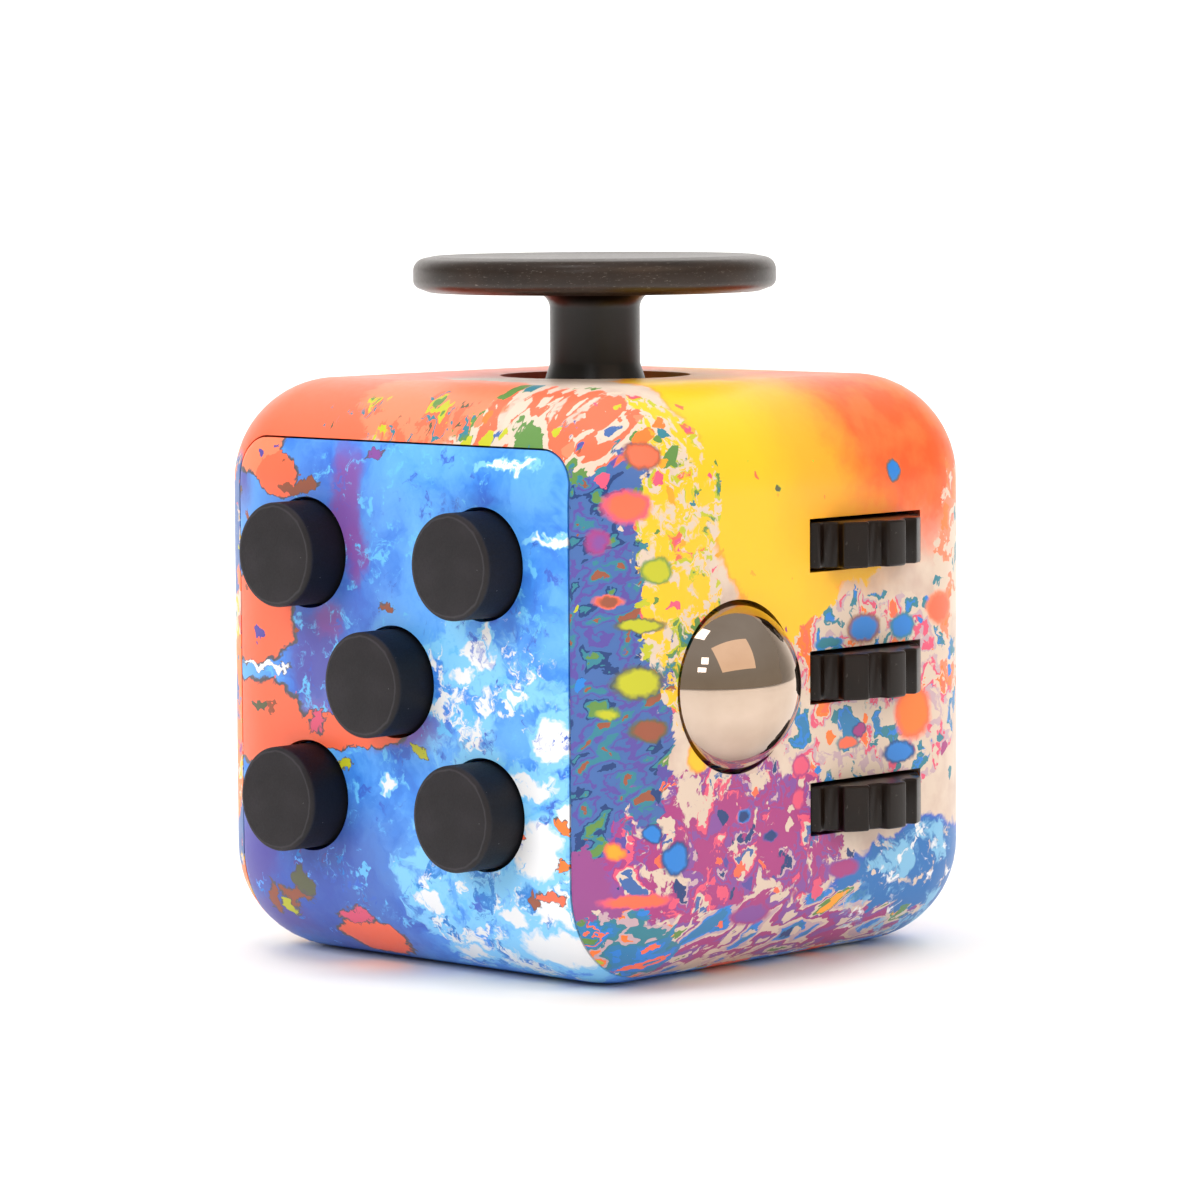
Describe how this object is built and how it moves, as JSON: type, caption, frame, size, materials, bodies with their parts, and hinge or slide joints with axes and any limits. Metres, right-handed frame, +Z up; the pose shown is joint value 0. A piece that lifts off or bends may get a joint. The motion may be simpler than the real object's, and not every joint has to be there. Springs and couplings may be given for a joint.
{
  "type": "fidget cube",
  "caption": "Palm-sized fidget cube with rounded edges: push buttons, a roller ball and thumb gears, a tilting joystick, a spinning dial, a rocker switch and a smooth thumb dent",
  "frame": {"origin": "middle of the flat bottom, on the surface the cube rests on", "axes": "+Z up through the joystick; -Y is the push-button face, +X the ball and gear face, +Y the dial face, -X the rocker face"},
  "size_m": [0.0383, 0.0382, 0.0399],
  "materials": {
    "shell_print": "satin coat over a multi-colour splash print: blue, orange, yellow, magenta, cream and green",
    "button_rubber": "matte charcoal, edges slightly worn",
    "gear_plastic": "brown-black, semi-gloss",
    "joystick_plastic": "brown-black, satin, scuffed rim",
    "rocker_plastic": "charcoal, satin",
    "dial_plastic": "charcoal, satin",
    "ball_chrome": "mirror polished",
    "inner_plastic": "grey moulding, fine texture",
    "spring_steel": "bright rolled",
    "screw_steel": "zinc plated",
    "silicone": "milky, matte"
  },
  "bodies": {
    "cube": {"shell_front_bottom_back": "shell_print", "shell_left_top_right": "shell_print", "click_dome_top_left": "spring_steel", "silicone_dome_top_right": "silicone", "click_dome_centre": "spring_steel", "silicone_dome_bottom_left": "silicone", "click_dome_bottom_right": "spring_steel", "button_backplate": "inner_plastic", "backplate_screw_1": "screw_steel", "backplate_screw_2": "screw_steel", "backplate_screw_3": "screw_steel", "gear_axle": "screw_steel", "gear_spacer_upper": "inner_plastic", "gear_spacer_lower": "inner_plastic", "gear_click_comb": "spring_steel", "roll_frame": "inner_plastic", "roll_screw_1": "screw_steel", "roll_screw_2": "screw_steel", "roll_screw_3": "screw_steel", "roll_screw_4": "screw_steel", "ball_spring": "spring_steel", "joystick_cradle": "inner_plastic", "joystick_spring": "spring_steel", "cradle_screw_1": "screw_steel", "cradle_screw_2": "screw_steel", "rocker_pin": "screw_steel", "rocker_bracket": "inner_plastic", "rocker_snap_leaf": "spring_steel", "rocker_screw_1": "screw_steel", "rocker_screw_2": "screw_steel", "dial_wave_washer": "spring_steel"},
    "button_top_left_body": {"button_top_left": "button_rubber"},
    "button_top_right_body": {"button_top_right": "button_rubber"},
    "button_centre_body": {"button_centre": "button_rubber"},
    "button_bottom_left_body": {"button_bottom_left": "button_rubber"},
    "button_bottom_right_body": {"button_bottom_right": "button_rubber"},
    "gear_upper_body": {"gear_upper": "gear_plastic"},
    "gear_middle_body": {"gear_middle": "gear_plastic"},
    "gear_lower_body": {"gear_lower": "gear_plastic"},
    "ball_body": {"roll_ball": "ball_chrome"},
    "ball_seat_body": {"ball_seat": "inner_plastic"},
    "joystick_body": {"joystick": "joystick_plastic"},
    "gimbal_body": {"gimbal_ring": "inner_plastic"},
    "rocker_body": {"rocker": "rocker_plastic"},
    "dial_body": {"spin_dial": "dial_plastic", "dial_retainer": "inner_plastic", "dial_screw": "screw_steel"}
  },
  "joints": [
    {"name": "press_top_left", "type": "slide", "parent": "cube", "child": "button_top_left_body", "axis": [0, 1, 0], "range_m": [0, 0.0009], "stiffness_N_per_m": 1300, "deforming": ["click_dome_top_left"]},
    {"name": "press_top_right", "type": "slide", "parent": "cube", "child": "button_top_right_body", "axis": [0, 1, 0], "range_m": [0, 0.0009], "stiffness_N_per_m": 1300, "deforming": ["silicone_dome_top_right"]},
    {"name": "press_centre", "type": "slide", "parent": "cube", "child": "button_centre_body", "axis": [0, 1, 0], "range_m": [0, 0.0009], "stiffness_N_per_m": 1300, "deforming": ["click_dome_centre"]},
    {"name": "press_bottom_left", "type": "slide", "parent": "cube", "child": "button_bottom_left_body", "axis": [0, 1, 0], "range_m": [0, 0.0009], "stiffness_N_per_m": 1300, "deforming": ["silicone_dome_bottom_left"]},
    {"name": "press_bottom_right", "type": "slide", "parent": "cube", "child": "button_bottom_right_body", "axis": [0, 1, 0], "range_m": [0, 0.0009], "stiffness_N_per_m": 1300, "deforming": ["click_dome_bottom_right"]},
    {"name": "turn_gear_upper", "type": "hinge", "parent": "cube", "child": "gear_upper_body", "pos_m": [0.01345, 0.0046, 0.0239], "axis": [0, 0, 1], "continuous": true},
    {"name": "turn_gear_middle", "type": "hinge", "parent": "cube", "child": "gear_middle_body", "pos_m": [0.01345, 0.0046, 0.0165], "axis": [0, 0, 1], "continuous": true},
    {"name": "turn_gear_lower", "type": "hinge", "parent": "cube", "child": "gear_lower_body", "pos_m": [0.01345, 0.0046, 0.0091], "axis": [0, 0, 1], "continuous": true},
    {"name": "press_ball", "type": "slide", "parent": "cube", "child": "ball_seat_body", "axis": [-1, 0, 0], "range_m": [0, 0.0008], "stiffness_N_per_m": 2500, "deforming": ["ball_spring"]},
    {"name": "roll_ball", "type": "hinge", "parent": "ball_seat_body", "child": "ball_body", "pos_m": [0.01454, -0.0063, 0.0165], "axis": [0, 0, 1], "continuous": true},
    {"name": "joystick_side_tilt", "type": "hinge", "parent": "cube", "child": "gimbal_body", "pos_m": [0, 0, 0.025], "axis": [0, 1, 0], "range_deg": [-12, 12], "stiffness_Nm_per_rad": 0.033},
    {"name": "joystick_front_tilt", "type": "hinge", "parent": "gimbal_body", "child": "joystick_body", "pos_m": [0, 0, 0.025], "axis": [1, 0, 0], "range_deg": [-12, 12], "stiffness_Nm_per_rad": 0.033, "deforming": ["joystick_spring"]},
    {"name": "flip_rocker", "type": "hinge", "parent": "cube", "child": "rocker_body", "pos_m": [-0.0136, 0, 0.0165], "axis": [0, 1, 0], "range_deg": [0, 26]},
    {"name": "spin_dial", "type": "hinge", "parent": "cube", "child": "dial_body", "pos_m": [0, 0.0165, 0.0165], "axis": [0, 1, 0], "continuous": true}
  ]
}
